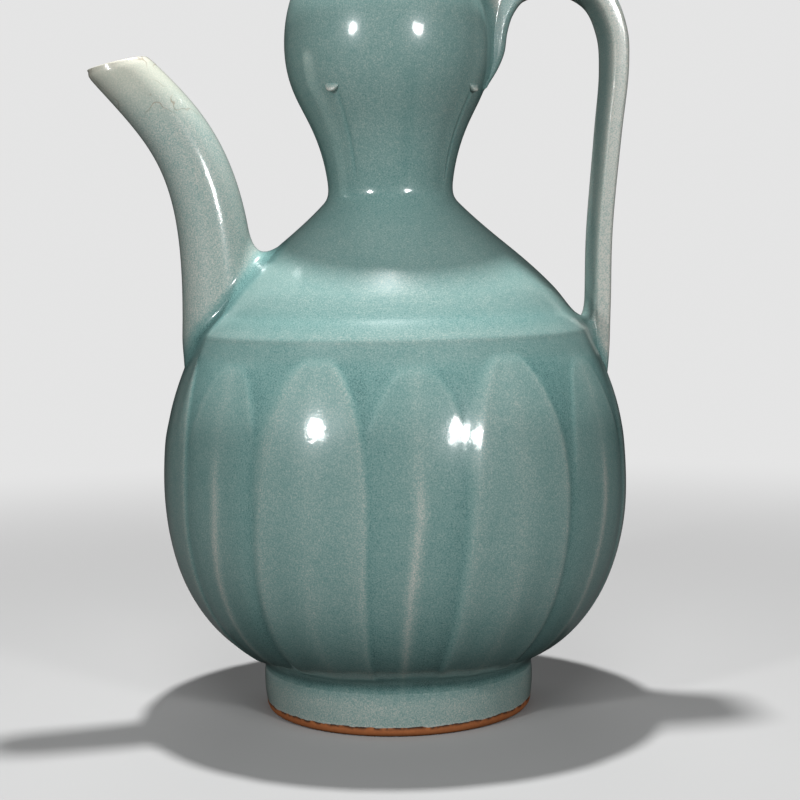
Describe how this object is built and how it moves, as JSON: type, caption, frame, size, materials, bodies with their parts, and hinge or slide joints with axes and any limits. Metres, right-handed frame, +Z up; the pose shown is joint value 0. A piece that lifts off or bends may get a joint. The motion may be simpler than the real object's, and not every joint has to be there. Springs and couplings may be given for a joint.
{
  "type": "ewer",
  "caption": "Double-gourd wine ewer in pale blue-green glaze, with carved lotus petals, a long curved spout, a strap handle, a foot ring and a small lift-off lid.",
  "frame": {"origin": "on the table, under the middle of the ewer's length from spout to handle", "axes": "+Z up along the ewer's height, -X towards the spout, +X towards the handle, -Y the side seen in the picture"},
  "size_m": [0.1626, 0.1401, 0.2591],
  "materials": {
    "celadon_glaze": "thick glossy grey-green to blue-green glaze, paler where it runs thin over edges and ribs",
    "bare_clay": "unglazed stoneware burnt orange-brown in the kiln, matt"
  },
  "bodies": {
    "body": {"foot_ring": "celadon_glaze", "lower_bulb_bowl": "celadon_glaze", "lower_bulb_shoulder": "celadon_glaze", "upper_bulb": "celadon_glaze", "petal_tip_1": "celadon_glaze", "petal_tip_2": "celadon_glaze", "petal_tip_3": "celadon_glaze", "petal_tip_4": "celadon_glaze", "spout": "celadon_glaze", "handle": "celadon_glaze"},
    "lid": {"lid_cap": "celadon_glaze", "lid_knob": "celadon_glaze", "lid_flange": "bare_clay"}
  },
  "joints": [
    {"name": "lid_lift", "type": "slide", "parent": "body", "child": "lid", "axis": [0, 0, 1], "range_m": [0, 0.03]}
  ]
}
